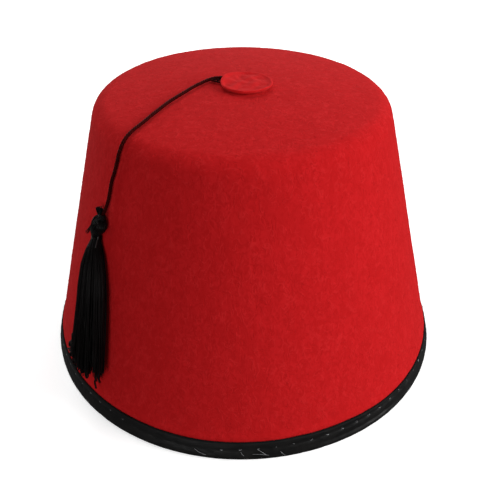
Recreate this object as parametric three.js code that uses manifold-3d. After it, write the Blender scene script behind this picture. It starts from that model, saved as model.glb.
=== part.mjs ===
// A fez: a hollow felt crown with a low domed top, a black tape folded over its rim, a felt
// button on the top, and a thin black cord that leaves the button, runs over the round edge
// and hangs down the wall to a tassel. Millimetres, +Z up, standing on its rim at Z = 0, with
// the origin under the middle of the rim and the front towards -Y.
import * as THREE from "three";
import { mergeVertices } from "three/addons/utils/BufferGeometryUtils.js";
import Module from "manifold-3d";

// Crown
const RIM_RADIUS = 94.4; // felt's outer face, carried down to the floor
const TOP_RADIUS = 62.5; // felt's outer face, carried up to CROWN_HEIGHT
const CROWN_HEIGHT = 120.6; // floor to the level where the dome starts to rise
const DOME_RISE = 4.4;
const EDGE_RADIUS = 8.9; // round between the wall and the top
const FELT = 2.2; // thickness of the felt

// The rim is out of round: its radius swells twice round the hat, like a head's, and a little
// three times round it. Both fade out towards the top.
const OVAL = 1.97;
const OVAL_TURN = -78.3; // degrees from +X
const LOBE = 0.86;
const LOBE_TURN = -14;

// Rim binding: a tape folded over the felt's edge
const TAPE = 0.85; // thickness of the tape
const BINDING_OUTSIDE = 8.3; // height of the fold's outer leg
const BINDING_INSIDE = 8.5; // height of the fold's inner leg
const FOLD_RADIUS = 1.1;

// Button
const BUTTON_X = 1.8;
const BUTTON_Y = -4;
const BUTTON_RADIUS = 10.9;
const BUTTON_THICKNESS = 2;
const BUTTON_EDGE = 0.5; // round on its rims
const BUTTON_DISH = 0.3; // how far its middle is pressed in
const BUTTON_FLAT = 0.75; // share of its width that the pressed-in middle takes

// Cord: the middle of the cord from the button's edge, over the top and down the wall, then on
// through the tassel's knot, head and neck to where the strands are tied to it
const CORD_DIAMETER = 1.6;
const CORD_SIDES = 8;
const CORD_STEP = 3.4; // distance between its sections
const CORD_ROUTE = [
  [-8.2, 2.3, 126.1],
  [-13.0, 1.5, 125.9],
  [-17.5, -3.3, 125.7],
  [-20.8, -7.5, 125.5],
  [-23.7, -11.8, 125.2],
  [-28.7, -18.6, 124.5],
  [-31.1, -22.6, 124.1],
  [-33.4, -26.4, 123.6],
  [-35.7, -30.5, 123.1],
  [-37.8, -34.2, 122.5],
  [-40.9, -39.1, 121.7],
  [-42.4, -41.5, 121.1],
  [-43.8, -43.2, 119.9],
  [-44.9, -44.3, 118.4],
  [-45.7, -45.1, 116.8],
  [-46.6, -45.8, 114.5],
  [-47.4, -46.0, 111.6],
  [-49.2, -46.3, 106.0],
  [-50.5, -46.2, 102.5],
  [-51.8, -46.9, 97.1],
  [-52.6, -47.5, 94.3],
  [-53.8, -48.2, 91.3],
  [-55.8, -49.1, 87.3],
  [-57.3, -49.3, 84.4],
  [-58.0, -49.0, 81.5],
  [-58.4, -48.6, 78.6],
  [-59.2, -49.4, 75.2],
  [-60.1, -51.6, 70.6],
];

// Tassel: each piece is lofted through oval sections that lie on the wall. A section is at a
// height on the wall and a turn round the hat (degrees from +X), and is as wide along the wall
// as it says, and as deep out from it.
const TASSEL_SIDES = 20;
const KNOT_SECTIONS = [
  { height: 93.2, turn: -138.3, width: 3.4, depth: 3.2 },
  { height: 92.2, turn: -138.5, width: 4.8, depth: 4.2 },
  { height: 90.8, turn: -138.8, width: 5.2, depth: 4.6 },
  { height: 89.6, turn: -138.9, width: 4.4, depth: 4.0 },
  { height: 88.9, turn: -139.0, width: 3.4, depth: 3.4 },
];
const HEAD_SECTIONS = [
  { height: 88.5, turn: -139.3, width: 4.2, depth: 3.8 },
  { height: 87.4, turn: -139.3, width: 6.4, depth: 5.4 },
  { height: 85.2, turn: -139.4, width: 7.8, depth: 6.4 },
  { height: 82.6, turn: -139.6, width: 8.0, depth: 6.6 },
  { height: 80.9, turn: -139.8, width: 6.8, depth: 5.8 },
  { height: 79.9, turn: -139.9, width: 5.0, depth: 4.6 },
];
const NECK_SECTIONS = [
  { height: 79.5, turn: -140.0, width: 4.9, depth: 4.5 },
  { height: 78.0, turn: -140.3, width: 4.5, depth: 4.2 },
  { height: 76.6, turn: -140.4, width: 4.9, depth: 4.5 },
];
const SKIRT_SECTIONS = [
  { height: 76.2, turn: -140.4, width: 5.2, depth: 4.6 },
  { height: 72.0, turn: -139.4, width: 8.8, depth: 6.2 },
  { height: 66.0, turn: -138.1, width: 13.4, depth: 8.0 },
  { height: 58.0, turn: -136.6, width: 17.2, depth: 9.0 },
  { height: 50.0, turn: -135.6, width: 18.0, depth: 9.6 },
  { height: 40.0, turn: -134.9, width: 19.2, depth: 10.2 },
  { height: 30.0, turn: -134.9, width: 20.8, depth: 10.4 },
  { height: 24.5, turn: -135.0, width: 21.4, depth: 10.0 },
  { height: 22.5, turn: -135.0, width: 19.0, depth: 8.0 },
];

const GAP = 0.3; // between neighbouring pieces
const SIDES = 90; // of what is turned round the hat's axis
const BUTTON_SIDES = 48;
const ARC_STEPS = 6; // of the dome and of the round edge
const SMALL_ARC_STEPS = 3; // of the tape's folds and the button's rims
const LEAN = Math.atan2(RIM_RADIUS - TOP_RADIUS, CROWN_HEIGHT); // of the wall, from upright
const QUARTER = Math.PI / 2;

const red = new THREE.MeshStandardMaterial({ color: "#bf1f28", roughness: 0.95 });
const black = new THREE.MeshStandardMaterial({ color: "#111012", roughness: 0.45 });
const yarn = new THREE.MeshStandardMaterial({ color: "#0c0b0d", roughness: 0.6 });

const wasm = await Module();
wasm.setup();

// Radius of the wall's outer face at a height, or of a face that stands proud of it
function wallRadius(height, proud = 0) {
  return RIM_RADIUS - height * Math.tan(LEAN) + proud / Math.cos(LEAN);
}

// How much further out than on a round hat the wall is, as a factor
function outOfRound(turn, height) {
  const oval = OVAL * Math.cos(2 * (turn - THREE.MathUtils.degToRad(OVAL_TURN)));
  const lobe = LOBE * Math.cos(3 * (turn - THREE.MathUtils.degToRad(LOBE_TURN)));
  return 1 + ((1 - height / CROWN_HEIGHT) * (oval + lobe)) / RIM_RADIUS;
}

// Turns a profile of [radius, height] points round the hat's axis
function turned(profile, sides = SIDES) {
  const geometry = new THREE.LatheGeometry(profile, sides);
  geometry.rotateX(Math.PI / 2);
  return geometry;
}

// Moves what was turned round into the hat's own outline
function shaped(geometry) {
  const place = geometry.attributes.position;
  for (let i = 0; i < place.count; i++) {
    const turn = Math.atan2(place.getY(i), place.getX(i));
    const factor = outOfRound(turn, Math.min(place.getZ(i), CROWN_HEIGHT));
    place.setX(i, place.getX(i) * factor);
    place.setY(i, place.getY(i) * factor);
  }
  geometry.computeVertexNormals();
  return geometry;
}

// Points on an arc, from one angle to another, measured from +Y of the profile towards +X
function arc(centreX, centreY, radius, from, to, steps) {
  return Array.from({ length: steps + 1 }, (_, i) => {
    const angle = THREE.MathUtils.lerp(from, to, i / steps);
    return new THREE.Vector2(
      centreX + radius * Math.sin(angle),
      centreY + radius * Math.cos(angle),
    );
  });
}

// The crown's face at an inset into the felt: the dome, the round edge that touches it without
// a crease, and the wall down to a height
function crownFace(inset, foot) {
  const edgeHeight = CROWN_HEIGHT - EDGE_RADIUS;
  const edgeCentre = wallRadius(edgeHeight, -EDGE_RADIUS);
  const between = (edgeCentre ** 2 + DOME_RISE ** 2) / (2 * DOME_RISE);
  const domeRadius = between + EDGE_RADIUS;
  const domeCentre = CROWN_HEIGHT + DOME_RISE - domeRadius;
  const meeting = Math.asin(edgeCentre / between);
  const wallStart = QUARTER - LEAN;
  const dome = arc(0, domeCentre, domeRadius - inset, 0, meeting, ARC_STEPS);
  const round = arc(edgeCentre, edgeHeight, EDGE_RADIUS - inset, meeting, wallStart, ARC_STEPS);
  const middle = (edgeHeight + foot) / 2;
  const wall = [middle, foot].map(
    (height) => new THREE.Vector2(wallRadius(height, -inset), height),
  );
  return [...dome, ...round.slice(1), ...wall];
}

function crown() {
  const foot = TAPE + GAP;
  return shaped(turned([...crownFace(FELT, foot), ...crownFace(0, foot).reverse()]));
}

function rimBinding() {
  const outside = GAP + TAPE;
  const inside = -FELT - GAP - TAPE;
  const at = (height, proud) => new THREE.Vector2(wallRadius(height, proud), height);
  const outerFold = wallRadius(0, outside) - FOLD_RADIUS;
  const innerFold = wallRadius(0, inside) + FOLD_RADIUS;
  const loop = [
    at(BINDING_INSIDE, inside),
    at(BINDING_INSIDE, inside + TAPE),
    at(TAPE, inside + TAPE),
    at(TAPE, GAP),
    at(BINDING_OUTSIDE, GAP),
    at(BINDING_OUTSIDE, outside),
    ...arc(outerFold, FOLD_RADIUS, FOLD_RADIUS, QUARTER, 2 * QUARTER, SMALL_ARC_STEPS),
    ...arc(innerFold, FOLD_RADIUS, FOLD_RADIUS, 2 * QUARTER, 3 * QUARTER, SMALL_ARC_STEPS),
  ];
  return shaped(turned([...loop, loop[0]].reverse()));
}

function topButton() {
  const low = BUTTON_EDGE;
  const high = BUTTON_THICKNESS - BUTTON_EDGE;
  const rim = BUTTON_RADIUS - BUTTON_EDGE;
  const profile = [
    new THREE.Vector2(0, 0),
    ...arc(rim, low, BUTTON_EDGE, 2 * QUARTER, QUARTER, SMALL_ARC_STEPS),
    ...arc(rim, high, BUTTON_EDGE, QUARTER, 0, SMALL_ARC_STEPS),
    new THREE.Vector2(BUTTON_RADIUS * BUTTON_FLAT, BUTTON_THICKNESS - BUTTON_DISH),
    new THREE.Vector2(0, BUTTON_THICKNESS - BUTTON_DISH),
  ];
  return turned(profile, BUTTON_SIDES);
}

// A round tube along the cord's route, run on past its end by a length
function alongCord(radius, runOn = 0) {
  const points = CORD_ROUTE.map((point) => new THREE.Vector3(...point));
  if (runOn > 0) {
    const [before, end] = points.slice(-2);
    const onwards = end.clone().sub(before).setLength(runOn);
    points.push(end.clone().add(onwards));
  }
  const curve = new THREE.CatmullRomCurve3(points);
  const corners = Array.from({ length: CORD_SIDES }, (_, i) => {
    const angle = (i / CORD_SIDES) * 2 * Math.PI;
    return new THREE.Vector2(radius * Math.cos(angle), radius * Math.sin(angle));
  });
  return new THREE.ExtrudeGeometry(new THREE.Shape(corners), {
    extrudePath: curve,
    steps: Math.round(curve.getLength() / CORD_STEP),
  });
}

// Where a section of the tassel lies: its middle, the way along the wall and the way out of it
function onWall({ height, turn, depth }) {
  const angle = THREE.MathUtils.degToRad(turn);
  const out = new THREE.Vector3(
    Math.cos(angle) * Math.cos(LEAN),
    Math.sin(angle) * Math.cos(LEAN),
    Math.sin(LEAN),
  );
  const radius = wallRadius(height) * outOfRound(angle, height);
  const foot = new THREE.Vector3(radius * Math.cos(angle), radius * Math.sin(angle), height);
  return {
    middle: foot.addScaledVector(out, GAP + depth / 2),
    along: new THREE.Vector3(Math.sin(angle), -Math.cos(angle), 0),
    out,
  };
}

// A closed solid through oval sections: a drum of unit radius with a ring for each section,
// whose rings are then stretched and carried to their places
function lofted(sections) {
  const last = sections.length - 1;
  const drum = new THREE.LatheGeometry(
    [
      new THREE.Vector2(0, 0),
      ...sections.map((_, i) => new THREE.Vector2(1, i)),
      new THREE.Vector2(0, last),
    ],
    TASSEL_SIDES,
  );
  const place = drum.attributes.position;
  for (let i = 0; i < place.count; i++) {
    const section = sections[Math.round(place.getY(i))];
    const { middle, along, out } = onWall(section);
    middle.addScaledVector(along, (place.getX(i) * section.width) / 2);
    middle.addScaledVector(out, (place.getZ(i) * section.depth) / 2);
    place.setXYZ(i, middle.x, middle.y, middle.z);
  }
  drum.computeVertexNormals();
  return drum;
}

function solidOf(geometry) {
  const bare = geometry.clone();
  bare.deleteAttribute("normal");
  bare.deleteAttribute("uv");
  const merged = mergeVertices(bare, 1e-3);
  return new wasm.Manifold(
    new wasm.Mesh({
      numProp: 3,
      vertProperties: merged.attributes.position.array,
      triVerts: new Uint32Array(merged.index.array),
    }),
  );
}

// A tassel piece with the cord's way bored through it
function bored(geometry) {
  const tunnel = solidOf(alongCord(CORD_DIAMETER / 2 + GAP, GAP));
  const { vertProperties, triVerts } = solidOf(geometry).subtract(tunnel).getMesh();
  const result = new THREE.BufferGeometry();
  result.setAttribute("position", new THREE.BufferAttribute(vertProperties, 3));
  result.setIndex(new THREE.BufferAttribute(triVerts, 1));
  result.computeVertexNormals();
  return result;
}

function mesh(name, geometry, material) {
  const made = new THREE.Mesh(geometry, material);
  made.name = name;
  return made;
}

const button = mesh("top_button", topButton(), red);
button.position.set(BUTTON_X, BUTTON_Y, CROWN_HEIGHT + DOME_RISE + GAP);

const tassel = new THREE.Group();
tassel.add(
  mesh("tassel_knot", bored(lofted(KNOT_SECTIONS)), yarn),
  mesh("tassel_head", bored(lofted(HEAD_SECTIONS)), yarn),
  mesh("tassel_neck", bored(lofted(NECK_SECTIONS)), yarn),
  mesh("tassel_skirt", bored(lofted(SKIRT_SECTIONS)), yarn),
);

const fez = new THREE.Group();
fez.add(
  mesh("crown", crown(), red),
  mesh("rim_binding", rimBinding(), black),
  button,
  mesh("cord", alongCord(CORD_DIAMETER / 2), yarn),
  tassel,
);

export default fez;
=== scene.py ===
"""Adds a felt fez in Blender, piece by piece, around its construction model."""

import math
from collections import namedtuple

import bmesh
import bpy
import numpy as np
from bpy.props import FloatProperty, FloatVectorProperty, IntProperty, PointerProperty
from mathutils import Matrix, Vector, noise


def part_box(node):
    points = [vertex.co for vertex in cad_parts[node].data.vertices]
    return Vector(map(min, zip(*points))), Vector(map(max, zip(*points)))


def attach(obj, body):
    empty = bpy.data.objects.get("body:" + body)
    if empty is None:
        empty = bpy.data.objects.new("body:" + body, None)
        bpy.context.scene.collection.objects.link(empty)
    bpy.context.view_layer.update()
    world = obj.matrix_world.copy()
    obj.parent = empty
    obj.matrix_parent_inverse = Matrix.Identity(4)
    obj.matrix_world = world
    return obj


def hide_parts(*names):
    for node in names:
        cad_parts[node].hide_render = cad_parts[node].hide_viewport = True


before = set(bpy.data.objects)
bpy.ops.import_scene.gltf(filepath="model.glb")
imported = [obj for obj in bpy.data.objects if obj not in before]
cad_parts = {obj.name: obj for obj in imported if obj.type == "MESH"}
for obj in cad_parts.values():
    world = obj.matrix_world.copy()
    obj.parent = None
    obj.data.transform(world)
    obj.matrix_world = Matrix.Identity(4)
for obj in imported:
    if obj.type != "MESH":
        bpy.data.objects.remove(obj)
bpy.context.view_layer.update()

bl_info = {
    "name": "Felt Fez",
    "version": (1, 0, 0),
    "blender": (4, 5, 0),
    "location": "View3D > Sidebar > Fez",
    "description": "Adds a felt fez with a taped rim, a top button, a cord and a tassel",
    "category": "Add Mesh",
}

MM = 0.001
BODY = "root"
GOLDEN_TURN = math.pi * (3 - math.sqrt(5))
CROWN_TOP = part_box("crown")[1].z
BUTTON_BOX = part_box("top_button")
BUTTON_MIDDLE = (BUTTON_BOX[0] + BUTTON_BOX[1]) / 2
DOME_RISE = 4.4 * MM


def table_of(kind, *values):
    """A table of rows of one kind."""
    return [kind(*row) for row in values]


# The middle of the cord, from the button's edge over the top and down the wall, then on
# through the tassel's knot, head and neck to where the strands are tied to it
CORD_ROUTE = [
    (-0.0082, 0.0023, 0.1261),
    (-0.0130, 0.0015, 0.1259),
    (-0.0175, -0.0033, 0.1257),
    (-0.0208, -0.0075, 0.1255),
    (-0.0237, -0.0118, 0.1252),
    (-0.0287, -0.0186, 0.1245),
    (-0.0311, -0.0226, 0.1241),
    (-0.0334, -0.0264, 0.1236),
    (-0.0357, -0.0305, 0.1231),
    (-0.0378, -0.0342, 0.1225),
    (-0.0409, -0.0391, 0.1217),
    (-0.0424, -0.0415, 0.1211),
    (-0.0438, -0.0432, 0.1199),
    (-0.0449, -0.0443, 0.1184),
    (-0.0457, -0.0451, 0.1168),
    (-0.0466, -0.0458, 0.1145),
    (-0.0474, -0.0460, 0.1116),
    (-0.0492, -0.0463, 0.1060),
    (-0.0505, -0.0462, 0.1025),
    (-0.0518, -0.0469, 0.0971),
    (-0.0526, -0.0475, 0.0943),
    (-0.0538, -0.0482, 0.0913),
    (-0.0558, -0.0491, 0.0873),
    (-0.0573, -0.0493, 0.0844),
    (-0.0580, -0.0490, 0.0815),
    (-0.0584, -0.0486, 0.0786),
    (-0.0592, -0.0494, 0.0752),
    (-0.0601, -0.0516, 0.0706),
]

# The cord's unlaid ends beside its entry under the button
BUTTON_ENDS = [
    [(-0.0150, 0.0011, 0.1259), (-0.0118, -0.0009, 0.1258), (-0.0080, -0.0032, 0.1257)],
    [(-0.0142, 0.0015, 0.1260), (-0.0112, 0.0006, 0.1259), (-0.0076, -0.0008, 0.1259)],
]

# Tassel: oval sections that lie on the wall, at a height on it and a turn round the hat in
# degrees, as wide along the wall and as deep out from it as they say
Section = namedtuple("Section", "height turn width depth")
TUFT_SECTIONS = table_of(
    Section,
    (0.0903, -140.5, 0.0029, 0.0025),
    (0.0895, -140.1, 0.0028, 0.0024),
    (0.0886, -139.6, 0.0025, 0.0022),
    (0.0877, -138.8, 0.0021, 0.0019),
    (0.0866, -138.2, 0.0020, 0.0018),
)
HEAD_SECTIONS = table_of(
    Section,
    (0.0870, -139.9, 0.0014, 0.0012),
    (0.0868, -139.7, 0.0044, 0.0034),
    (0.0860, -139.4, 0.0056, 0.0045),
    (0.0849, -139.0, 0.0064, 0.0053),
    (0.0837, -138.9, 0.0067, 0.0055),
    (0.0822, -139.3, 0.0062, 0.0052),
    (0.0807, -140.1, 0.0055, 0.0047),
    (0.0794, -140.8, 0.0045, 0.0039),
    (0.0780, -141.2, 0.0034, 0.0031),
    (0.0762, -141.0, 0.0031, 0.0029),
)
NECK_SECTIONS = table_of(
    Section,
    (0.0795, -141.0, 0.0042, 0.0038),
    (0.0788, -141.1, 0.0038, 0.0035),
    (0.0778, -141.1, 0.0036, 0.0033),
    (0.0764, -140.9, 0.0037, 0.0034),
)
SKIRT_SECTIONS = table_of(
    Section,
    (0.0785, -140.7, 0.0034, 0.0032),
    (0.0762, -140.6, 0.0042, 0.0038),
    (0.0720, -139.1, 0.0092, 0.0064),
    (0.0660, -138.0, 0.0133, 0.0080),
    (0.0580, -136.8, 0.0156, 0.0090),
    (0.0500, -136.0, 0.0164, 0.0094),
    (0.0400, -135.3, 0.0176, 0.0100),
    (0.0300, -134.9, 0.0190, 0.0100),
    (0.0150, -134.2, 0.0196, 0.0096),
)

# Places on the wall: a turn in degrees, a height, and how far proud of the felt
Place = namedtuple("Place", "turn height proud")
THREAD_TAIL = table_of(
    Place,
    (-140.9, 0.0866, 0.0030),
    (-142.8, 0.0855, 0.0016),
    (-144.5, 0.0837, 0.0009),
    (-145.9, 0.0812, 0.0007),
    (-147.2, 0.0786, 0.0007),
    (-148.4, 0.0760, 0.0008),
    (-149.3, 0.0740, 0.0011),
)
NECK_THREAD = table_of(
    Place,
    (-139.3, 0.0790, 0.0027),
    (-139.3, 0.0779, 0.0028),
    (-139.1, 0.0771, 0.0032),
    (-138.7, 0.0761, 0.0037),
    (-138.2, 0.0749, 0.0044),
)

# Where the winding at the top of the tassel starts
KNOT = Place(-138.3, 0.0868, 0.0030)

# Ends of strands that stand out of the skirt on its two sides
LOOSE_TIPS = table_of(
    Place,
    (-148.0, 0.0186, 0.0030),
    (-150.0, 0.0160, 0.0016),
    (-148.1, 0.0159, 0.0030),
    (-146.6, 0.0176, 0.0036),
    (-147.3, 0.0138, 0.0020),
    (-145.3, 0.0154, 0.0030),
    (-144.6, 0.0172, 0.0042),
    (-143.9, 0.0140, 0.0026),
    (-143.2, 0.0156, 0.0034),
    (-142.0, 0.0162, 0.0046),
    (-141.2, 0.0139, 0.0038),
    (-139.8, 0.0152, 0.0046),
    (-138.8, 0.0143, 0.0038),
    (-132.1, 0.0138, 0.0030),
    (-131.0, 0.0186, 0.0036),
    (-131.6, 0.0170, 0.0022),
)

# Loose ends of the sewing thread, which lie on the tape
LOOSE_ENDS = [
    table_of(Place, (-101.7, 0.0040, 0.0010), (-100.4, 0.0030, 0.0014), (-98.9, 0.0020, 0.0012)),
    table_of(Place, (-90.2, 0.0040, 0.0008), (-89.9, 0.0034, 0.0012), (-89.4, 0.0023, 0.0009)),
    table_of(Place, (-86.0, 0.0050, 0.0009), (-85.1, 0.0042, 0.0014), (-84.0, 0.0027, 0.0012)),
    table_of(Place, (-87.3, 0.0032, 0.0011), (-85.4, 0.0032, 0.0015), (-83.3, 0.0023, 0.0012)),
    table_of(Place, (-80.4, 0.0033, 0.0011), (-79.8, 0.0023, 0.0014), (-79.1, 0.0010, 0.0009)),
]

# Cross-section of the tape: heights, and how far proud of the felt's outer face
Edge = namedtuple("Edge", "height proud")
TAPE_OUTSIDE = table_of(
    Edge,
    (0.00770, -0.00010),
    (0.00818, 0.00006),
    (0.00832, 0.00026),
    (0.00822, 0.00050),
    (0.00770, 0.00070),
    (0.00680, 0.00074),
    (0.00580, 0.00073),
    (0.00480, 0.00072),
    (0.00380, 0.00075),
    (0.00290, 0.00080),
    (0.00190, 0.00081),
    (0.00100, 0.00070),
    (0.00030, 0.00040),
)
TAPE_INSIDE = table_of(
    Edge,
    (0.00000, -0.00040),
    (0.00000, -0.00180),
    (0.00030, -0.00280),
    (0.00110, -0.00325),
    (0.00260, -0.00330),
    (0.00450, -0.00318),
    (0.00640, -0.00326),
    (0.00790, -0.00326),
    (0.00845, -0.00290),
    (0.00840, -0.00245),
    (0.00790, -0.00210),
)
TAPE_HIDDEN = table_of(
    Edge,
    (0.00400, -0.00205),
    (0.00200, -0.00160),
    (0.00200, -0.00060),
    (0.00400, -0.00015),
)

# The sewn line round the rim: at a turn in degrees, the heights of the tape's upper edge and of
# the stitches, how many degrees they stray from even spacing, how proud the stitches stand, and
# the shares of the tape's pucker and of its flare
Seam = namedtuple("Seam", "turn edge height shift proud swell flare")
SEAM = table_of(
    Seam,
    (-160, 0.0086, 0.0061, 0.0, 0.00050, 1.0, 0.0),
    (-147, 0.0088, 0.0062, -0.4, 0.00042, 1.0, 0.0),
    (-137, 0.0087, 0.0062, -0.3, 0.00046, 1.0, 0.0),
    (-127, 0.0086, 0.0060, -0.5, 0.00034, 1.0, 0.0),
    (-121, 0.0085, 0.0053, -0.5, 0.00032, 0.7, 0.0),
    (-112, 0.0083, 0.0045, -0.2, 0.00036, 0.2, 0.0),
    (-104, 0.0081, 0.0042, 0.4, 0.00044, 0.1, 0.0),
    (-96, 0.0081, 0.0046, 0.0, 0.00076, 0.1, 0.0),
    (-90, 0.0082, 0.0049, 0.2, 0.00070, 0.1, 0.0),
    (-79, 0.0084, 0.0053, 0.2, 0.00030, 0.7, 0.0),
    (-76, 0.0085, 0.0054, 0.2, 0.00036, 0.8, 0.1),
    (-72, 0.0085, 0.0056, 0.3, 0.00094, 0.8, 0.2),
    (-61, 0.0085, 0.0062, 0.2, 0.00110, 1.0, 1.0),
    (-50, 0.0080, 0.0062, -0.6, 0.00104, 1.0, 1.2),
    (-44, 0.0079, 0.0062, -0.7, 0.00030, 0.8, 0.6),
    (-34, 0.0080, 0.0062, -0.6, 0.00030, 1.0, 0.0),
    (-15, 0.0082, 0.0060, 0.0, 0.00060, 1.0, 0.0),
    (90, 0.0083, 0.0060, 0.0, 0.00060, 1.0, 0.0),
)

# Stitches that are pulled right into the tape, by their turns in degrees
SUNK_STITCHES = [-118.0, -113.5, -109.0, -99.5]

# Studio lamps: a turn round the hat and a rise above the floor in degrees, a distance from the
# hat and a width in metres, and watts
Lamp = namedtuple("Lamp", "name turn rise distance width watts")
LAMPS = table_of(
    Lamp,
    ("key_right", -14, 24, 1.1, 0.60, 10.8),
    ("back", 78, 30, 1.1, 0.60, 3.3),
    ("back_left", 120, 55, 1.1, 0.50, 3.1),
    ("left_low", 150, 14, 1.1, 0.30, 2.3),
    ("front_left", -110, 10, 1.1, 0.50, 3.2),
    ("front_right", -50, 8, 1.1, 0.50, 1.1),
)


# ---- sizes and colours


def settings_of(kind, **rules):
    """A function that makes settings of one kind, which a user may change."""

    def setting(name, default, description):
        return kind(name=name, description=description, default=default, **rules)

    return setting


length = settings_of(FloatProperty, unit="LENGTH", precision=5)
share = settings_of(FloatProperty, subtype="FACTOR")
focal = settings_of(FloatProperty, unit="CAMERA")
turning = settings_of(FloatProperty, unit="ROTATION")
number = settings_of(IntProperty, min=1)
colour = settings_of(FloatVectorProperty, subtype="COLOR", size=4, min=0.0, max=1.0)
place = settings_of(FloatVectorProperty, subtype="TRANSLATION", precision=5)


def angle(name, degrees, description):
    """An angle in degrees that a user may change."""
    return turning(name, math.radians(degrees), description)


class CrownSizes(bpy.types.PropertyGroup):
    """The felt crown."""

    rim_radius: length("Rim radius", 94.4 * MM, "Outer face of the wall, carried to the floor")
    top_radius: length("Top radius", 62.5 * MM, "Outer face of the wall, carried to its height")
    wall_height: length("Wall height", CROWN_TOP - DOME_RISE, "Floor to where the dome starts")
    dome_rise: length("Dome rise", DOME_RISE, "How far the top swells")
    edge_radius: length("Edge radius", 8.9 * MM, "Round between the wall and the top")
    felt: length("Felt", 2.2 * MM, "Thickness of the felt")
    oval: length("Oval", 1.97 * MM, "How far the rim swells twice round")
    oval_turn: angle("Oval turn", -78.3, "Where the rim swells most")
    lobe: length("Lobe", 0.86 * MM, "How far the rim swells three times round")
    lobe_turn: angle("Lobe turn", -14, "Where the three swellings start")
    foot: length("Foot", 1.15 * MM, "Height of the felt's cut edge inside the tape")
    wave: length("Wave", 0.10 * MM, "Depth of the felt's slow waves")
    pebble: length("Pebble", 0.09 * MM, "Depth of the felt's small lumps")
    lip: length("Lip", 0.45 * MM, "How far the felt swells above the tight tape")
    columns: number("Columns", 400, "Faces round the crown")
    rows: number("Rows", 146, "Faces down the crown's outside")


class FeltFinish(bpy.types.PropertyGroup):
    """The look of the felt and its loose fibres."""

    red: colour("Red", (0.590, 0.0118, 0.0143, 1), "Dye of the felt")
    # Deep red: the felt's darker flecks, blotches and fibres, and also painted shade in the felt's
    # hollows and creased lines
    deep_red: colour("Deep red", (0.51, 0.0084, 0.0098, 1), "Between the fibres")
    # Pale red: paler fibres, and the raised lines, which are partly painted highlight; it also lightens
    # the button
    pale_red: colour("Pale red", (0.66, 0.0200, 0.0225, 1), "Raised fibres")
    fleck: length("Fleck", 1.9 * MM, "Width of the felt's flecks")
    curl: length("Curl", 3.8 * MM, "Width of the loops that the matted fibres make")
    # How strongly the pale raised lines and dark creased lines show: partly the felt's own tones, partly
    # painted highlight and shade
    contrast: share("Contrast", 0.44, "How much the raised fibres stand out")
    relief: length("Relief", 0.11 * MM, "Depth of the felt's flecks and fibres")
    fibres: number("Fibres", 6400, "Loose fibres that lie on the felt")
    fibre: length("Fibre", 0.14 * MM, "Thickness of a loose fibre")
    fibre_length: length("Fibre length", 2.5 * MM, "Length of a loose fibre")
    seed: number("Seed", 21, "Pattern of the loose fibres")


class TapeSizes(bpy.types.PropertyGroup):
    """The tape round the rim and its stitches."""

    groove: length("Groove", 0.16 * MM, "Depth of the sewn line")
    pull: length("Pull", 0.26 * MM, "How much deeper each stitch pulls the tape")
    pucker: length("Pucker", 0.20 * MM, "How far the tape puckers between stitches")
    flare: length("Flare", 0.30 * MM, "How deep its waist is where its foot stands out")
    stitches: number("Stitches", 80, "Stitches round the rim")
    stitch_turn: angle("Stitch turn", -95.06, "Where one stitch lies")
    stitch: length("Stitch", 1.35 * MM, "Length of a stitch on the outside")
    thread: length("Thread", 0.30 * MM, "Thickness of the sewing thread")
    seed: number("Seed", 11, "Pattern of the puckers")


class ButtonSizes(bpy.types.PropertyGroup):
    """The felt button."""

    radius: length("Radius", (BUTTON_BOX[1].x - BUTTON_BOX[0].x) / 2, "Radius of the disc")
    thickness: length("Thickness", 2.0 * MM, "Thickness of the disc")
    edge: length("Edge", 0.16 * MM, "Round on its edge")
    undercut: length("Undercut", 2.8 * MM, "How far its foot stands back under its edge")
    dish: length("Dish", 0.42 * MM, "How far its middle is pressed in")
    hem: length("Hem", 0.14 * MM, "How far its rim stands up")
    dent: length("Dent", 0.70 * MM, "Depth of its dents")
    lift: length("Lift", 0.95 * MM, "How far the cord lifts it")
    lift_turn: angle("Lift turn", 150, "Where the cord goes under it")


class CordSizes(bpy.types.PropertyGroup):
    """The twisted cord."""

    diameter: length("Diameter", 1.6 * MM, "Thickness of the whole cord")
    lay: length("Lay", 3.4 * MM, "Length of one turn of the twist")
    plies: number("Plies", 3, "Yarns twisted together")
    drawn: share("Drawn", 0.94, "Thickness where the cord hangs tight, as a share")
    brown: colour("Brown", (0.0240, 0.0007, 0.0006, 1), "Dye of the cord")
    black: colour("Black", (0.0018, 0.0012, 0.0012, 1), "Dye of the tassel")


class TasselSizes(bpy.types.PropertyGroup):
    """The tassel."""

    tuft_strands: number("Tuft strands", 90, "Cut ends in the tuft")
    head_strand: length("Head strand", 0.62 * MM, "Thickness of the yarns of the head")
    locks: number("Locks", 58, "Bunches of strands in the skirt")
    lock_strands: number("Strands in a lock", 9, "Strands in each bunch")
    strand: length("Strand", 0.44 * MM, "Thickness of a strand")
    tip_height: length("Tip height", 19.6 * MM, "Where the strands end")
    ragged: length("Ragged", 0.9 * MM, "How unevenly the strands are cut")
    parting: share("Parting", 0.10, "How far the skirt parts at its lower end")
    gap: length("Gap", 0.30 * MM, "Between the tassel and the felt")
    seed: number("Seed", 5, "Pattern of the strands")


class StageSetup(bpy.types.PropertyGroup):
    """The floor, the lamps and the camera."""

    floor_width: length("Floor width", 6.0, "Width of the floor")
    floor_glow: share("Floor glow", 0.62, "Light that the lit floor gives back")
    sky: share("Sky", 0.12, "Brightness of the studio round the hat")
    camera_place: place("Camera place", (0.0, -0.28197, 0.23652), "Where the camera stands")
    camera_aim: place("Camera aim", (-0.00094, 0.0, 0.04404), "What the camera looks at")
    lens: focal("Lens", 52.40, "Focal length of the camera")


# ---- shapes


def unit(vectors):
    """The vectors, made one long."""
    return vectors / np.linalg.norm(vectors, axis=-1, keepdims=True)


def stacked(*parts):
    """Columns side by side, each spread to the shape that all of them share."""
    return np.stack(np.broadcast_arrays(*parts), -1)


def around(count):
    """Turns that are evenly spaced all the way round."""
    return np.arange(count) * 2 * np.pi / count


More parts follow.
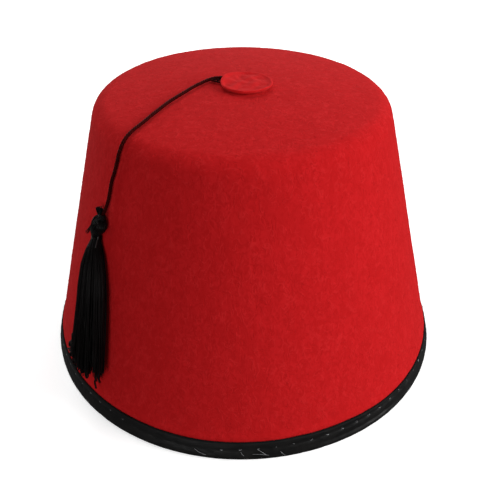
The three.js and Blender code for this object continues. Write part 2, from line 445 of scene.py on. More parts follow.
def filled_disc(count, reach=1.0):
    """Points spread evenly over a disc."""
    spot = np.arange(count)
    reach = reach * np.sqrt((spot + 0.5) / count)
    return stacked(reach * np.cos(spot * GOLDEN_TURN), reach * np.sin(spot * GOLDEN_TURN))


def bell(distance, width):
    """A smooth hump, 1 at no distance and next to nothing at two widths."""
    return np.exp(-((distance / width) ** 2))


def smooth_noise(points, feature, seed=0):
    """Noise from -1 to 1 at each point, whose lumps are that wide."""
    shift = Vector((13.7 * seed, 7.1 * seed, 3.3 * seed))
    flat = np.asarray(points).reshape(-1, 3)
    values = [noise.noise(Vector(point) / feature + shift) for point in flat]
    return np.array(values).reshape(np.shape(points)[:-1])


def smooth_path(points, step):
    """A smooth line through the points, with a point every step."""
    points = np.asarray(points, float)
    ends = np.vstack([2 * points[0] - points[1], points, 2 * points[-1] - points[-2]])
    fine = []
    for before, start, end, after in zip(ends, ends[1:], ends[2:], ends[3:]):
        t = np.linspace(0, 1, 12, endpoint=False)[:, None]
        fine.append(
            start
            + 0.5 * t * (end - before)
            + 0.5 * t**2 * (2 * before - 5 * start + 4 * end - after)
            + 0.5 * t**3 * (3 * start - 3 * end + after - before)
        )
    fine = np.vstack([*fine, points[-1:]])
    run = np.append(0, np.cumsum(np.linalg.norm(np.diff(fine, axis=0), axis=1)))
    even = np.linspace(0, run[-1], max(2, round(run[-1] / step) + 1))
    return np.stack([np.interp(even, run, fine[:, axis]) for axis in range(points.shape[1])], -1)


def path_length(path):
    """Length of a line of points."""
    return float(np.linalg.norm(np.diff(path, axis=0), axis=1).sum())


def lean_of(crown):
    """Angle of the wall from upright."""
    return math.atan2(crown.rim_radius - crown.top_radius, crown.wall_height)


def wall_radius(crown, height, proud=0.0):
    """Radius of the wall's outer face at a height, or of a face that stands proud of it."""
    lean = lean_of(crown)
    return crown.rim_radius - height * math.tan(lean) + proud / math.cos(lean)


def out_of_round(crown, turn, height):
    """How much further out than on a round hat the wall is, as a factor."""
    oval = crown.oval * np.cos(2 * (turn - crown.oval_turn))
    lobe = crown.lobe * np.cos(3 * (turn - crown.lobe_turn))
    fade = 1 - np.clip(height / crown.wall_height, 0, 1)
    return 1 + fade * (oval + lobe) / crown.rim_radius


def on_wall(crown, turn, height, along=0.0, proud=0.0):
    """Points on the wall at turns and heights, moved along it and out of it, and the way out."""
    lean = lean_of(crown)
    turn, height, along, proud = np.broadcast_arrays(turn, height, along, proud)
    radius = wall_radius(crown, height) * out_of_round(crown, turn, height)
    across, back = np.cos(turn), np.sin(turn)
    out = stacked(across * math.cos(lean), back * math.cos(lean), math.sin(lean))
    side = stacked(-back, across, 0.0)
    foot = stacked(radius * across, radius * back, height)
    return foot + along[..., None] * side + proud[..., None] * out, out


def at_places(crown, places):
    """Points at a list of places on the wall."""
    turns, heights, prouds = np.array(places).T
    return on_wall(crown, np.radians(turns), heights, proud=prouds)[0]


def in_sections(crown, sections, heights, along, out, lift):
    """Points in the tassel's form: along and out run from -1 to 1 across its oval section."""
    table = np.array(sections[::-1])
    turn, width, depth = (np.interp(heights, table[:, 0], table[:, i]) for i in (1, 2, 3))
    along, proud = along * width / 2, lift + (1 + out) * depth / 2
    return on_wall(crown, np.radians(turn), heights, along, proud)


def ring_faces(rows, columns, closed=False):
    """Faces of a grid whose columns go all the way round, and its rows too if it is closed."""
    row = np.arange(rows if closed else rows - 1)[:, None]
    column = np.arange(columns)[None, :]
    beside, above = (column + 1) % columns, (row + 1) % rows
    here, there = row * columns, above * columns
    corners = stacked(here + column, here + beside, there + beside, there + column)
    return corners.reshape(-1, 4).tolist()


def tubes(paths, thickness, sides, up, flutes=0, flute_depth=0.0, flute_turns=0.0):
    """Closed round tubes along paths, a (tube, point, xyz) array. Up points away from what they
    lie on. Flutes are grooves that wind round a tube, like the yarns of a ply."""
    count, steps, _ = paths.shape
    ahead = unit(np.gradient(paths, axis=1))
    across = unit(np.cross(ahead, np.broadcast_to(up, paths.shape)))
    over = np.cross(across, ahead)
    spin = around(sides)
    wound = np.arange(steps)[:, None] / steps * flute_turns * 2 * np.pi
    swell = 1 + flute_depth * np.cos(flutes * spin + wound)
    radius = np.broadcast_to(np.asarray(thickness) / 2, (count, steps))[..., None] * swell
    ring = across[..., None, :] * np.cos(spin)[:, None] + over[..., None, :] * np.sin(spin)[:, None]
    points = paths[:, :, None, :] + ring * radius[..., None]
    one = ring_faces(steps, sides)
    one += [list(range(sides))[::-1], list(range((steps - 1) * sides, steps * sides))]
    faces = [[corner + tube * steps * sides for corner in face] for tube in range(count) for face in one]
    return points.reshape(-1, 3), faces


def joined(*parts):
    """Several (points, faces) as one."""
    points, faces, start = [], [], 0
    for more_points, more_faces in parts:
        points.append(more_points)
        faces += [[corner + start for corner in face] for face in more_faces]
        start += len(more_points)
    return np.vstack(points), faces


def add_piece(name, shape, finish):
    """A smooth mesh object that rides on the hat, with its faces pointing out."""
    points, faces = shape
    mesh = bpy.data.meshes.new(name)
    mesh.from_pydata(np.asarray(points).tolist(), [], faces)
    work = bmesh.new()
    work.from_mesh(mesh)
    bmesh.ops.recalc_face_normals(work, faces=work.faces)
    for face in work.faces:
        face.smooth = len(face.verts) <= 4
    work.to_mesh(mesh)
    work.free()
    mesh.materials.append(finish)
    piece = bpy.data.objects.new(name, mesh)
    bpy.context.scene.collection.objects.link(piece)
    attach(piece, BODY)
    return piece


# ---- finishes


class Finish:
    """A procedural material and the nodes that it is made of."""

    def __init__(self, name, sockets):
        self.material = bpy.data.materials.new(name)
        self.material.use_nodes = True
        self.tree = self.material.node_tree
        self.shader = self.tree.nodes["Principled BSDF"]
        for socket, value in sockets.items():
            self.shader.inputs[socket].default_value = value

    def node(self, kind, inputs=None, **settings):
        """Adds a node, with its inputs set to numbers or linked to other nodes' outputs."""
        made = self.tree.nodes.new(kind)
        for setting, value in settings.items():
            setattr(made, setting, value)
        for socket, value in (inputs or {}).items():
            self.feed(made.inputs[socket], value)
        return made

    def feed(self, socket, value):
        """Links or sets one input."""
        if isinstance(value, bpy.types.NodeSocket):
            self.tree.links.new(value, socket)
        else:
            socket.default_value = value

    def dye(self, value):
        """Gives the surface its colour."""
        self.feed(self.shader.inputs["Base Color"], value)

    def reckon(self, operation, *values):
        """One sum worked out from numbers or from other nodes' outputs."""
        return self.node("ShaderNodeMath", dict(enumerate(values)), operation=operation).outputs[0]

    def place(self, stretch=(1, 1, 1)):
        """Where a point is on the object, in metres, with an axis stretched or squeezed."""
        where = self.node("ShaderNodeTexCoord").outputs["Object"]
        mapped = self.node("ShaderNodeMapping", {"Vector": where, "Scale": stretch})
        return mapped.outputs["Vector"]

    def lumps(self, where, feature, detail=2.0, distortion=0.0, roughness=0.5):
        """Noise whose lumps are about that wide."""
        inputs = {
            "Vector": where,
            "Scale": 1 / feature,
            "Detail": detail,
            "Distortion": distortion,
            "Roughness": roughness,
        }
        return self.node("ShaderNodeTexNoise", inputs).outputs["Fac"]

    def threads(self, where, loop, width, seed):
        """Thin broken lines that curl in loops about that wide: 1 on a line and 0 beside it."""
        moved = self.node("ShaderNodeVectorMath", {0: where, 1: (seed, seed, seed)}).outputs[0]
        curled = self.lumps(moved, loop, detail=1.6, distortion=1.3)
        off = self.reckon("ABSOLUTE", self.reckon("SUBTRACT", curled, 0.5))
        line = self.between(off, width, 0.0)
        broken = self.between(self.lumps(moved, loop * 0.8, detail=1), 0.44, 0.58)
        return self.reckon("MULTIPLY", line, broken)

    def between(self, value, low, high):
        """The value, spread smoothly so that low becomes 0 and high becomes 1."""
        inputs = {"Value": value, "From Min": low, "From Max": high}
        return self.node("ShaderNodeMapRange", inputs, interpolation_type="SMOOTHSTEP").outputs[0]

    def ramp(self, value, first, last, low=0.0, high=1.0):
        """A value that goes evenly from first to last while another goes from low to high."""
        inputs = {"Value": value, "From Min": low, "From Max": high}
        inputs |= {"To Min": first, "To Max": last}
        return self.node("ShaderNodeMapRange", inputs).outputs[0]

    def blend(self, factor, first, second):
        """One colour turning into another."""
        mix = self.node("ShaderNodeMix", data_type="RGBA")
        self.feed(mix.inputs[0], factor)
        self.feed(mix.inputs[6], first)
        self.feed(mix.inputs[7], second)
        return mix.outputs[2]

    def sum(self, *terms):
        """Heights added together, each times its own depth."""
        total, *others = [self.reckon("MULTIPLY", value, depth) for value, depth in terms]
        for term in others:
            total = self.reckon("ADD", total, term)
        return total

    def relief(self, height, depth):
        """Bumps the surface by a height from 0 to 1, that deep in metres."""
        bump = self.node("ShaderNodeBump", {"Height": height, "Distance": depth, "Strength": 1.0})
        self.tree.links.new(bump.outputs["Normal"], self.shader.inputs["Normal"])


# Heights where the felt's pale and dark lines, partly painted highlight and shade, start to grow
# stronger towards the top, and where they are strongest
STRONGER_LINES_HEIGHTS = 0.112, 0.121

# The tape's two blacks, and the mark on its mesh that dulls its upper edge
TAPE_BLACK = (0.0018, 0.0017, 0.0017, 1)
TAPE_WORN_BLACK = (0.0050, 0.0044, 0.0042, 1)
SELVEDGE = "selvedge"


def lightened(dye, times):
    """A dye that is so many times lighter."""
    return [min(1.0, times * part) for part in dye[:3]] + [1]


def felt_finish(name, felt, lighter=0.0):
    """Pressed wool felt: matted fibres that curl over each other, drawn out down the wall; its own
    mottled tones mixed with painted shade in its hollows and painted highlight on its raised lines.
    """
    made = Finish(
        name,
        {
            "Roughness": 0.95,
            "Specular IOR Level": 0.05,
            "Sheen Weight": 0.03,
            "Sheen Roughness": 0.45,
            "Sheen Tint": (1.0, 0.6, 0.6, 1),
        },
    )
    where = made.place(stretch=(1, 1, 0.62))
    blotch = made.lumps(where, 9 * MM, detail=2)
    fleck = made.lumps(where, felt.fleck, detail=2, distortion=1.1)
    raised = made.threads(where, felt.curl, 0.060, seed=1.7)
    creased_shaded = made.threads(where, felt.curl * 1.25, 0.044, seed=5.3)
    # Deeper red where the flecks are low and along the creased lines, paler along the raised lines: the
    # colour follows the bumps below, so it is partly painted shade and highlight besides the felt's own
    # tones
    body = made.blend(made.between(fleck, 0.30, 0.66), felt.deep_red[:], felt.red[:])
    patched = made.blend(made.between(blotch, 0.30, 1.0), body, felt.deep_red[:])
    height = made.node("ShaderNodeSeparateXYZ", {0: made.place()}).outputs[2]
    contrast = made.ramp(height, felt.contrast, 1.4 * felt.contrast, *STRONGER_LINES_HEIGHTS)
    pale = made.sum((raised, contrast))
    lined = made.blend(pale, patched, felt.pale_red[:])
    dark = made.sum((made.sum((creased_shaded, contrast)), 1.5))
    shaded = made.blend(dark, lined, felt.deep_red[:])
    made.dye(made.blend(lighter, shaded, felt.pale_red[:]))
    made.relief(made.sum((fleck, 0.55), (raised, 0.35), (creased_shaded, -0.45)), felt.relief)
    return made.material


def fibre_finish(felt):
    """Single wool fibres, some paler and some deeper than the felt they lie on."""
    made = Finish("Wool fibres", {"Roughness": 0.9, "Specular IOR Level": 0.06})
    own = made.node("ShaderNodeNewGeometry").outputs["Random Per Island"]
    along = made.lumps(made.place(), 2 * MM, detail=1)
    mixed = made.sum((own, 0.75), (along, 0.25))
    red = made.blend(made.between(mixed, 0.15, 0.85), felt.deep_red[:], felt.pale_red[:])
    made.dye(made.blend(0.7, red, felt.red[:]))
    return made.material


def tape_finish():
    """Black coated tape: a satin skin over a fine grain, dulled in patches."""
    made = Finish("Black tape", {"Specular IOR Level": 0.24})
    where = made.place()
    patch = made.lumps(where, 5 * MM, detail=3)
    grain = made.lumps(where, 0.45 * MM, detail=2)
    crease = made.lumps(made.place(stretch=(1, 1, 2.2)), 1.6 * MM, detail=3, distortion=0.8)
    made.dye(made.blend(made.between(patch, 0.35, 0.7), TAPE_BLACK, TAPE_WORN_BLACK))
    rough = made.ramp(patch, 0.36, 0.58)
    selvedge = made.node("ShaderNodeAttribute", attribute_name=SELVEDGE).outputs["Fac"]
    made.feed(made.shader.inputs["Roughness"], made.ramp(selvedge, rough, 1.0))
    made.relief(made.sum((grain, 0.25), (crease, 0.75)), 0.10 * MM)
    return made.material


def yarn_finish(name, black, shine, specular=0.10):
    """Black rayon yarn with a silky shine along its fibres, each strand a little unlike the next."""
    made = Finish(name, {"Roughness": shine, "Specular IOR Level": specular})
    where = made.place(stretch=(1, 1, 0.12))
    fibre = made.lumps(where, 0.16 * MM, detail=2)
    tone = made.lumps(made.place(stretch=(1, 1, 0.3)), 1.4 * MM, detail=2)
    strand = made.node("ShaderNodeNewGeometry").outputs["Random Per Island"]
    mixed = made.sum((made.between(tone, 0.4, 0.7), 0.5), (strand, 0.5))
    made.dye(made.blend(mixed, black[:], lightened(black, 2.4)))
    made.relief(fibre, 0.05 * MM)
    return made.material


def shiny_thread_finish(black):
    """Black thread with a hard shine, greyer in patches: the grey is partly a painted glint."""
    made = Finish("Shiny thread", {"Roughness": 0.34, "Specular IOR Level": 0.8})
    tone = made.lumps(made.place(), 0.8 * MM)
    # Greyer patches: partly a painted glint on the neck, besides the thread's real shine
    made.dye(made.blend(tone, black[:], lightened(black, 8.0)))
    return made.material


def thread_finish():
    """Clear sewing thread."""
    made = Finish("Clear thread", {"Roughness": 0.20, "Specular IOR Level": 1.0})
    cloudy = made.lumps(made.place(), 0.5 * MM)
    made.dye(made.blend(cloudy, (0.09, 0.09, 0.095, 1), (0.26, 0.26, 0.27, 1)))
    return made.material


# ---- crown


def arc(middle, radius, start, end, count):
    """Rows of a profile along a round, after its start: radius, height and the way out."""
    turns = np.linspace(start, end, count + 1)[1:]
    across, up = np.sin(turns), np.cos(turns)
    return stacked(middle[0] + radius * across, middle[1] + radius * up, across, up)


def crown_profile(crown, inset, rows):
    """Rows down the crown's face at an inset into the felt, from the middle of the top to the
    foot: radius, height, and the two parts of the way out."""
    lean = lean_of(crown)
    edge_height = crown.wall_height - crown.edge_radius
    edge_middle = wall_radius(crown, edge_height, -crown.edge_radius)
    between = (edge_middle**2 + crown.dome_rise**2) / (2 * crown.dome_rise)
    dome_radius = between + crown.edge_radius
    dome_middle = crown.wall_height + crown.dome_rise - dome_radius
    meeting = math.asin(edge_middle / between)
    bend = math.pi / 2 - lean
    wall_top = edge_height + (crown.edge_radius - inset) * math.sin(lean)
    runs = [
        dome_radius * meeting,
        crown.edge_radius * (bend - meeting),
        (wall_top - crown.foot) / math.cos(lean),
    ]
    counts = [max(2, round(rows * run / sum(runs))) for run in runs]
    dome = arc((0, dome_middle), dome_radius - inset, 0, meeting, counts[0])
    edge_inside = edge_middle, edge_height
    edge = arc(edge_inside, crown.edge_radius - inset, meeting, bend, counts[1])
    heights = np.linspace(wall_top, crown.foot, counts[2] + 1)[1:]
    wall = stacked(
        wall_radius(crown, heights, -inset), heights, math.cos(lean), math.sin(lean)
    )
    return np.vstack([dome, edge, wall])


def turned(crown, profile, columns):
    """A profile turned round the hat in the hat's own outline: points and the way out."""
    turn = around(columns)[None, :]
    radius, height, outward, upward = (profile[:, i][:, None] for i in range(4))
    radius = radius * out_of_round(crown, turn, height)
    across, back = np.cos(turn), np.sin(turn)
    points = stacked(radius * across, radius * back, height)
    return points, stacked(outward * across, outward * back, upward)


def seam_at(turn):
    """The row of the SEAM table that holds at turns round the rim."""
    turns, *columns = np.array(SEAM).T
    row = [np.interp(np.degrees(turn), turns, column, period=360) for column in columns]
    return Seam(turn, *row)


def tape_swell(crown, face):
    """How far the felt stands out just above the tight tape, and sinks under its edge."""
    over = face[..., 2] - seam_at(np.arctan2(face[..., 1], face[..., 0])).edge
    swollen, sunk = bell(over - 0.9 * MM, 1.2 * MM), bell(over + 0.7 * MM, 1.1 * MM)
    return crown.lip * (swollen - 0.9 * sunk)


def felt_face(crown):
    """The crown's outer face with its waves and lumps, row by row: points and the way out."""
    face, out = turned(crown, crown_profile(crown, 0.0, crown.rows), crown.columns)
    relief = crown.wave * smooth_noise(face, 38 * MM, 1)
    relief += crown.pebble * smooth_noise(face, 6 * MM, 2)
    relief += 0.7 * crown.pebble * smooth_noise(face * (1, 1, 0.6), 3 * MM, 3)
    relief += tape_swell(crown, face)
    return face + relief[..., None] * out, out


def on_face(face, row, column):
    """Points between the rows and columns of a face that runs all the way round."""
    rows, columns = face.shape[:2]
    above = np.clip(np.floor(row).astype(int), 0, rows - 2)
    before = np.floor(column).astype(int)
    down, along = (row - above)[..., None], (column - before)[..., None]
    before, after = before % columns, (before + 1) % columns
    upper = face[above, before] * (1 - along) + face[above, after] * along
    lower = face[above + 1, before] * (1 - along) + face[above + 1, after] * along
    return upper * (1 - down) + lower * down


class FEZ_OT_add_crown(bpy.types.Operator):
    """Adds the hollow felt crown"""

    bl_idname = "fez.add_crown"
    bl_label = "Felt Crown"

    def execute(self, context):
        crown, felt = context.scene.fez_crown, context.scene.fez_felt
        outside, _ = felt_face(crown)
        inner_profile = crown_profile(crown, crown.felt, crown.rows // 5)
        inside, out = turned(crown, inner_profile, crown.columns)
        inside = inside + (crown.wave * smooth_noise(inside, 9 * MM, 4))[..., None] * out
        rows = np.vstack([outside, inside[::-1]])
        faces = ring_faces(len(rows), crown.columns)
        top, bottom = rows[0].mean(axis=0), rows[-1].mean(axis=0)
        last = rows.size // 3
        for column in range(crown.columns):
            beside = (column + 1) % crown.columns
            faces.append([last, beside, column])
            lowest = (len(rows) - 1) * crown.columns
            faces.append([last + 1, lowest + column, lowest + beside])
        points = np.vstack([rows.reshape(-1, 3), top, bottom])
        piece = add_piece("felt_crown", (points, faces), felt_finish("Red felt", felt))
        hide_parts("crown")
        return {"FINISHED"}


# How far a fibre's heading strays from straight down the wall, bends and curls, in radians
FIBRE_STRAY = 0.8
FIBRE_BEND = 2.2
FIBRE_CURL = 1.7

# How deep a fibre's ends sink into the felt, in thicknesses of its own, and how far the fibres
# stay away from the middle of the top
FIBRE_SUNK = 0.42
FIBRES_FROM_MIDDLE = 8 * MM


class FEZ_OT_add_fibres(bpy.types.Operator):
    """Adds loose wool fibres that curl on the felt"""

    bl_idname = "fez.add_fibres"
    bl_label = "Felt Fibres"

    def execute(self, context):
        crown, felt = context.scene.fez_crown, context.scene.fez_felt
        rng = np.random.default_rng(felt.seed)
        face, out = felt_face(crown)
        radius = np.linalg.norm(face[..., :2], axis=-1).mean(axis=1)
        spacing = np.linalg.norm(np.diff(face, axis=0), axis=-1).mean(axis=1)
        down = np.append(0, np.cumsum(spacing))
        lowest = TAPE_OUTSIDE[2].height + felt.fibre_length
        covered = (radius > FIBRES_FROM_MIDDLE) & (face[..., 2].mean(axis=1) > lowest)
        chance = radius * np.gradient(down) * covered
        count, steps = felt.fibres, 6
        start = rng.choice(down, count, p=chance / chance.sum())
        start = start + rng.uniform(-0.5, 0.5, count) * np.mean(spacing)
        turn = rng.uniform(0, 2 * np.pi, count)
        on_top = np.interp(start, down, face[..., 2].mean(axis=1)) > crown.wall_height
        aim = np.where(on_top, rng.uniform(-np.pi, np.pi, count), rng.normal(0, FIBRE_STRAY, count))
        run = np.linspace(-0.5, 0.5, steps)[None, :]
        bend = rng.normal(0, FIBRE_BEND, (count, 1))
        curl = rng.normal(0, FIBRE_CURL, (count, 1))
        heading = aim[:, None] + bend * run + curl * np.cos(2 * np.pi * run)
        step = felt.fibre_length * rng.uniform(0.55, 1.25, (count, 1)) / (steps - 1)
        gone_down = start[:, None] + np.cumsum(step * np.cos(heading), axis=1)
        here = np.interp(gone_down, down, radius)
        gone_round = turn[:, None] + np.cumsum(step * np.sin(heading) / here, axis=1)
        row = np.interp(gone_down, down, np.arange(len(down)))
        column = gone_round % (2 * np.pi) / (2 * np.pi) * crown.columns
        way = unit(on_face(out, row, column))
        arch = np.cos(np.pi * run) * rng.uniform(0.25, 0.75, (count, 1)) - FIBRE_SUNK
        path = on_face(face, row, column) + (felt.fibre * arch)[..., None] * way
        thick = felt.fibre * (0.35 + 0.65 * np.cos(np.pi * run)) * rng.uniform(0.6, 1.2, (count, 1))
        add_piece("felt_fibres", tubes(path, thick, 3, way), fibre_finish(felt))
        return {"FINISHED"}


# ---- tape and stitches


# The middle of the fold between the tape's two legs, by how proud it is
TAPE_FOLD = -1.1 * MM

# Round the sewn line, in millimetres: how far its groove reaches, how far away the puckers are
# highest, and how far they reach
GROOVE_REACH = 0.6
PUCKER_AWAY = 1.7
PUCKER_REACH = 1.2

# Where the flared tape stands out at its foot and draws in at its waist, and how far each reaches
FOOT_HEIGHT, FOOT_REACH = 0.9 * MM, 0.9 * MM
WAIST_HEIGHT, WAIST_REACH = 2.9 * MM, 0.8 * MM

# The tape's small crumples, its edge's waves and the nicks in its foot: how deep and how wide
CRUMPLE, CRUMPLE_WIDTH = 0.10 * MM, 2.6 * MM
EDGE_WAVE, EDGE_WAVE_WIDTH = 0.14 * MM, 11 * MM
NICK, NICK_WIDTH = 0.45 * MM, 3.2 * MM

# The dull upper edge: where it starts, and how soon it is fully dull
SELVEDGE_START, SELVEDGE_RUN = 7.4 * MM, 0.5 * MM


def from_stitch(tape, turn):
    """Which stitch a turn round the rim is next to, and how far from it in stitch lengths."""
    even = turn - np.radians(seam_at(turn).shift)
    count = (even - tape.stitch_turn) / (2 * np.pi / tape.stitches)
    nearest = np.round(count)
    return nearest.astype(int) % tape.stitches, count - nearest


class FEZ_OT_add_tape(bpy.types.Operator):
    """Adds the tape that is folded over the rim, puckered by its stitches"""

    bl_idname = "fez.add_tape"
    bl_label = "Rim Tape"

    def execute(self, context):
        crown, tape = context.scene.fez_crown, context.scene.fez_tape
        rng = np.random.default_rng(tape.seed)
        section = np.array([*TAPE_OUTSIDE, *TAPE_INSIDE, *TAPE_HIDDEN, TAPE_OUTSIDE[0]])
        section = smooth_path(section, 0.42 * MM)[:-1]
        columns = tape.stitches * 10
        turn = around(columns)[None, :]
        height, proud = section[:, 0][:, None], section[:, 1][:, None]
        outer = proud > TAPE_FOLD
        seam = seam_at(turn)
        taller = np.where(outer, seam.edge - TAPE_OUTSIDE[2].height, 0)
        height = height + taller * np.clip(height / TAPE_OUTSIDE[2].height, 0, 1)
        relief = self.sewn_relief(crown, tape, seam, height, rng)
        across, back = crown.rim_radius * np.cos(turn), crown.rim_radius * np.sin(turn)
        round_rim = stacked(across, back, height * 1.8 + proud)
        relief = relief + CRUMPLE * smooth_noise(round_rim, CRUMPLE_WIDTH, tape.seed)
        edge_wave = EDGE_WAVE * smooth_noise(round_rim[0], EDGE_WAVE_WIDTH, tape.seed + 1)
        high = np.clip((height - seam.height) / (3 * MM), 0, 1)
        showing = np.clip((np.abs(proud - TAPE_FOLD) - 1.0 * MM) / (0.6 * MM), 0, 1)
        height = height + high * edge_wave * showing
        nick = smooth_noise(round_rim[0], NICK_WIDTH, tape.seed + 2)
        low = np.clip(1 - height / (1.6 * MM), 0, 1)
        lift = NICK * low * np.clip(nick - 0.28, 0, 1)
        out = np.where(outer, 1.0, -1.0)
        points, _ = on_wall(crown, turn, height + lift, proud=proud + relief * showing * out)
        points[..., 2] = np.maximum(points[..., 2], 0)
        shape = points.reshape(-1, 3), ring_faces(len(section), columns, closed=True)
        piece = add_piece("binding_tape", shape, tape_finish())
        upper = np.clip((section[:, 0] - SELVEDGE_START) / SELVEDGE_RUN, 0, 1)
        mark = piece.data.attributes.new(SELVEDGE, "FLOAT", "POINT")
        mark.data.foreach_set("value", np.repeat(upper, columns))
        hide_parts("rim_binding")
        return {"FINISHED"}

    def sewn_relief(self, crown, tape, seam, height, rng):
        """How far the tape stands out round its stitches, and where it flares."""
        stitch, off = from_stitch(tape, seam.turn)
        pitch = 2 * np.pi * crown.rim_radius / tape.stitches
        hole = bell(off * pitch, 1.1 * MM)
        slack = rng.uniform(0.35, 1.0, tape.stitches)[stitch]
        slant = rng.uniform(-0.9, 0.9, tape.stitches)[stitch]
        from_line = (height - seam.height) / MM
        tight = np.clip(seam.swell + 0.3, 0, 1)
        pulled = tape.groove * seam.swell + tape.pull * tight * hole
        ridge = np.cos(2 * np.pi * (off * 1.5 + slant * from_line * 0.22))
        band = bell(np.abs(from_line) - PUCKER_AWAY, PUCKER_REACH)
        swollen = seam.swell * slack * band * (0.35 + 0.5 * ridge) * (1 - 0.6 * hole)
        foot = 0.5 * bell(height - FOOT_HEIGHT, FOOT_REACH)
        waist = bell(height - WAIST_HEIGHT, WAIST_REACH)
        relief = -bell(from_line, GROOVE_REACH) * pulled + tape.pucker * swollen
        return relief + tape.flare * seam.flare * (foot - waist)


def stitch_paths(crown, tape, middle, span, low, high, rng):
    """One short arch of thread at every stitch: its ends dip into the tape."""
    pitch = 2 * np.pi / tape.stitches
    at = tape.stitch_turn + (np.arange(tape.stitches)[:, None] + middle) * pitch
    seam = seam_at(at)
    run = np.linspace(-0.5, 0.5, 7)[None, :]
    slant = rng.uniform(-0.35, 0.35, (tape.stitches, 1))
    spans = span * rng.uniform(0.8, 1.15, (tape.stitches, 1))
    arch = low + (high - low) * np.sqrt(np.clip(1 - (2 * run) ** 2, 0, 1))
    turn = at + np.radians(seam.shift) + 0 * run
    height = seam.height + slant * spans * run
    return on_wall(crown, turn, height, spans * run, arch)


# A sunk stitch: how near its turn is to one in the list, in degrees, and how proud it stands
SUNK_WITHIN = 1.5
SUNK_PROUD = 0.02 * MM

# A stitch on the inside: its length, and how proud of the felt's outer face its two ends and its
# middle are
BACK_STITCH = 5.4 * MM
BACK_FOOT = -2.7 * MM
BACK_PROUD = -3.35 * MM

# Thickness of the thread's loose ends, which have lost a yarn
THREAD_END = 0.19 * MM


class FEZ_OT_add_stitches(bpy.types.Operator):
    """Adds the clear thread that sews the tape on, and its loose ends"""

    bl_idname = "fez.add_stitches"
    bl_label = "Stitches"

    def execute(self, context):
        crown, tape = context.scene.fez_crown, context.scene.fez_tape
        rng = np.random.default_rng(tape.seed)
        clear = thread_finish()
        at = tape.stitch_turn + around(tape.stitches)[:, None]
        apart = (np.degrees(at) - SUNK_STITCHES + 180) % 360 - 180
        sunk = np.abs(apart).min(axis=1, keepdims=True) < SUNK_WITHIN
        proud = np.where(sunk, SUNK_PROUD, seam_at(at).proud)
        shown = stitch_paths(crown, tape, 0.0, tape.stitch, 0.12 * MM, proud, rng)
        backs = stitch_paths(crown, tape, 0.5, BACK_STITCH, BACK_FOOT, BACK_PROUD, rng)
        outside = tubes(shown[0], tape.thread, 6, shown[1])
        inside = tubes(backs[0], tape.thread, 6, backs[1])
        add_piece("binding_stitches", joined(outside, inside), clear)
        ends = []
        for places in LOOSE_ENDS:
            path = smooth_path(at_places(crown, places), 0.3 * MM)[None]
            ends.append(tubes(path, THREAD_END, 6, (0, -1, 0.2)))
        add_piece("loose_thread_ends", joined(*ends), clear)
        return {"FINISHED"}


# ---- button


# Where the button's hem is, as a share of its radius, and the spread of its lifted part in radians
HEM_REACH = 0.93
LIFT_SPREAD = 0.62


class FEZ_OT_add_button(bpy.types.Operator):
    """Adds the felt disc on the top, lifted where the cord goes under it"""

    bl_idname = "fez.add_button"
    bl_label = "Button"

    def execute(self, context):
        button = context.scene.fez_button
        columns, edge = 128, button.edge
        rim = button.radius - edge
        inward = np.linspace(0.02, 0.985, 30)
        top = np.stack([rim * inward, np.full(len(inward), button.thickness)], -1)
        bend = np.linspace(0, np.pi / 2, 5)
        shoulder = [rim, button.thickness - edge] + edge * np.stack([np.sin(bend), np.cos(bend)], -1)
        foot_radius = button.radius - button.undercut
        under = [
            [button.radius - 0.10 * MM, button.thickness - 0.40 * MM],
            [button.radius - 0.45 * MM, button.thickness - 0.95 * MM],
            [button.radius - 0.85 * MM, 0.50 * MM],
            [foot_radius, 0.30 * MM],
            [foot_radius, 0.0],
        ]
        base = np.stack([(foot_radius - MM) * inward[::-3], np.zeros(len(inward[::-3]))], -1)
        profile = np.vstack([top, shoulder, under, base])
        turn = around(columns)[None, :]
        reach = profile[:, 0][:, None] / button.radius
        outline = 1 + 0.012 * np.cos(3 * turn + 0.8) + 0.010 * np.cos(5 * turn + 2.0)
        across = profile[:, 0][:, None] * outline * np.cos(turn)
        back = profile[:, 0][:, None] * outline * np.sin(turn)
        height = profile[:, 1][:, None]
        upper = np.clip(height / button.thickness, 0, 1)
        flat = stacked(across, back, 0.0)
        dents = button.dent * smooth_noise(flat, 4.4 * MM, 8)
        dents += 0.5 * button.dent * smooth_noise(flat, 2.6 * MM, 9)
        dents = dents * np.clip(1.15 - reach**6, 0, 1)
        pressed = -button.dish * np.clip(1 - (reach / HEM_REACH) ** 8, 0, 1)
        pressed = pressed + button.hem * bell(reach - HEM_REACH, 0.045)
        turned_off = np.angle(np.exp(1j * (turn - button.lift_turn)))
        lift = button.lift * bell(turned_off, LIFT_SPREAD) * np.clip(reach, 0, 1) ** 2.5
        height = height + upper * (dents + pressed) + lift
        foot = CROWN_TOP - 0.05 * MM
        points = stacked(BUTTON_MIDDLE.x + across, BUTTON_MIDDLE.y + back, foot + height)
        faces = ring_faces(len(profile), columns)
        faces.append(list(range(columns))[::-1])
        faces.append(list(range((len(profile) - 1) * columns, len(profile) * columns)))
        finish = felt_finish("Button felt", context.scene.fez_felt, lighter=0.5)
        piece = add_piece("felt_button", (points.reshape(-1, 3), faces), finish)
        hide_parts("top_button")
        return {"FINISHED"}


# ---- cord


def away_from_hat(crown, path):
    """The way out of the hat along a path that lies on it."""
    middle = np.array([0, 0, crown.wall_height - 2.4 * crown.edge_radius])
    return unit(np.asarray(path) - middle)


